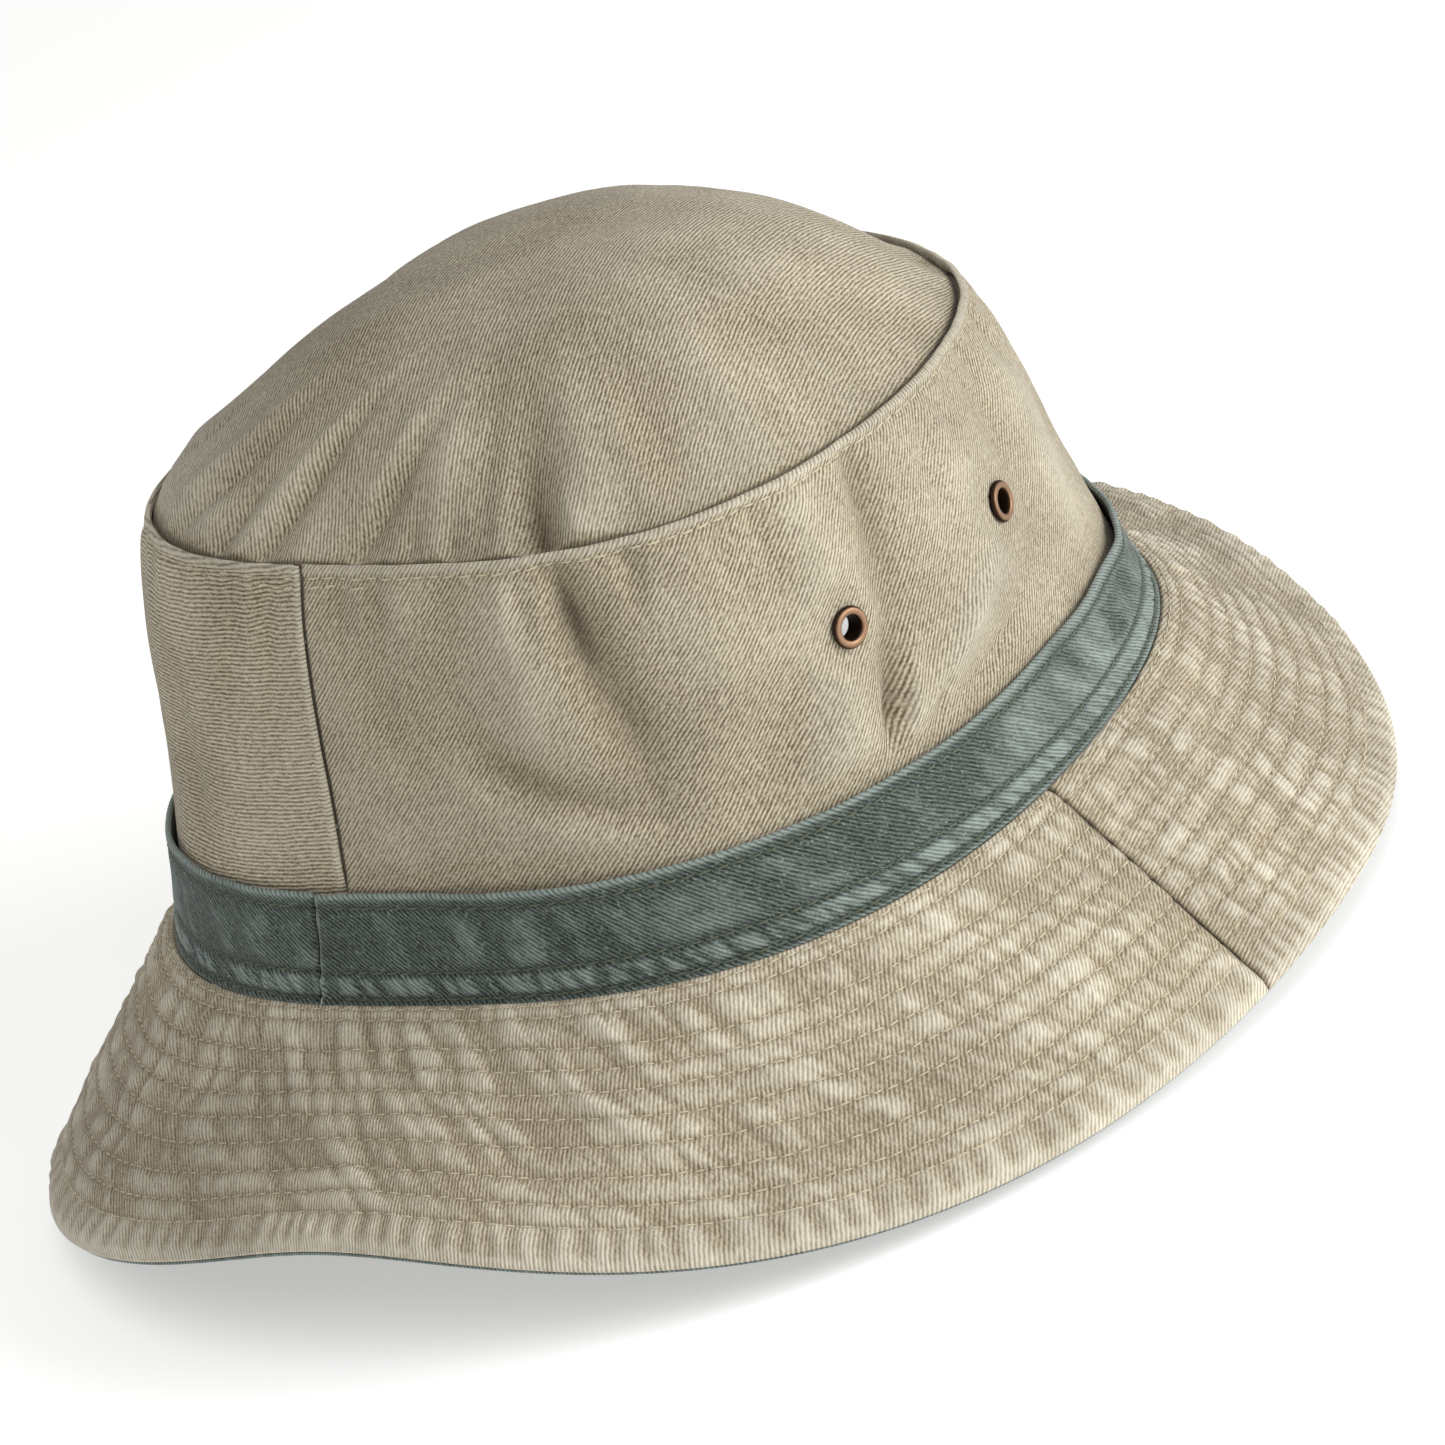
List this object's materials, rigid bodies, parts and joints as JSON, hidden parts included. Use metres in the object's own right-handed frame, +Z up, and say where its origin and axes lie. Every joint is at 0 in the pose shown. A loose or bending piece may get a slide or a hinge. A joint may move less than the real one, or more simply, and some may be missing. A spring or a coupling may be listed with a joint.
{
  "type": "bucket hat",
  "caption": "Soft washed-cotton bucket hat with a domed oval crown, side eyelets, a contrast band and a stitched sloping brim.",
  "frame": {"origin": "under the middle of the hat's outline, on the surface that its brim edge stands on", "axes": "+Z up, +Y towards the wearer's back, +X towards the wearer's left"},
  "size_m": [0.2468, 0.3004, 0.1558],
  "materials": {
    "khaki_crown_twill": "washed cotton twill, garment dyed khaki, worn pale along folds and seams",
    "khaki_brim_twill": "washed cotton twill, puckered between rows of stitching",
    "green_twill": "washed dark grey-green cotton twill",
    "sweatband_cotton": "plain-woven cotton tape, khaki",
    "brim_interlining": "stiff off-white woven interlining",
    "binding_tape": "folded cotton bias tape",
    "antique_brass": "antique copper-brown plated brass, worn bright on its rim"
  },
  "bodies": {
    "root": {"crown_tip": "khaki_crown_twill", "crown_side_left": "khaki_crown_twill", "crown_side_right": "khaki_crown_twill", "tip_seam_tape": "binding_tape", "back_seam_tape": "binding_tape", "front_seam_tape": "binding_tape", "sweatband": "sweatband_cotton", "hat_band": "green_twill", "brim_top_back": "khaki_brim_twill", "brim_interlining_back": "brim_interlining", "under_brim_back": "green_twill", "brim_top_front": "khaki_brim_twill", "brim_interlining_front": "brim_interlining", "under_brim_front": "green_twill", "eyelet_left_front": "antique_brass", "eyelet_washer_left_front": "antique_brass", "eyelet_left_back": "antique_brass", "eyelet_washer_left_back": "antique_brass", "eyelet_right_front": "antique_brass", "eyelet_washer_right_front": "antique_brass", "eyelet_right_back": "antique_brass", "eyelet_washer_right_back": "antique_brass"}
  },
  "joints": []
}
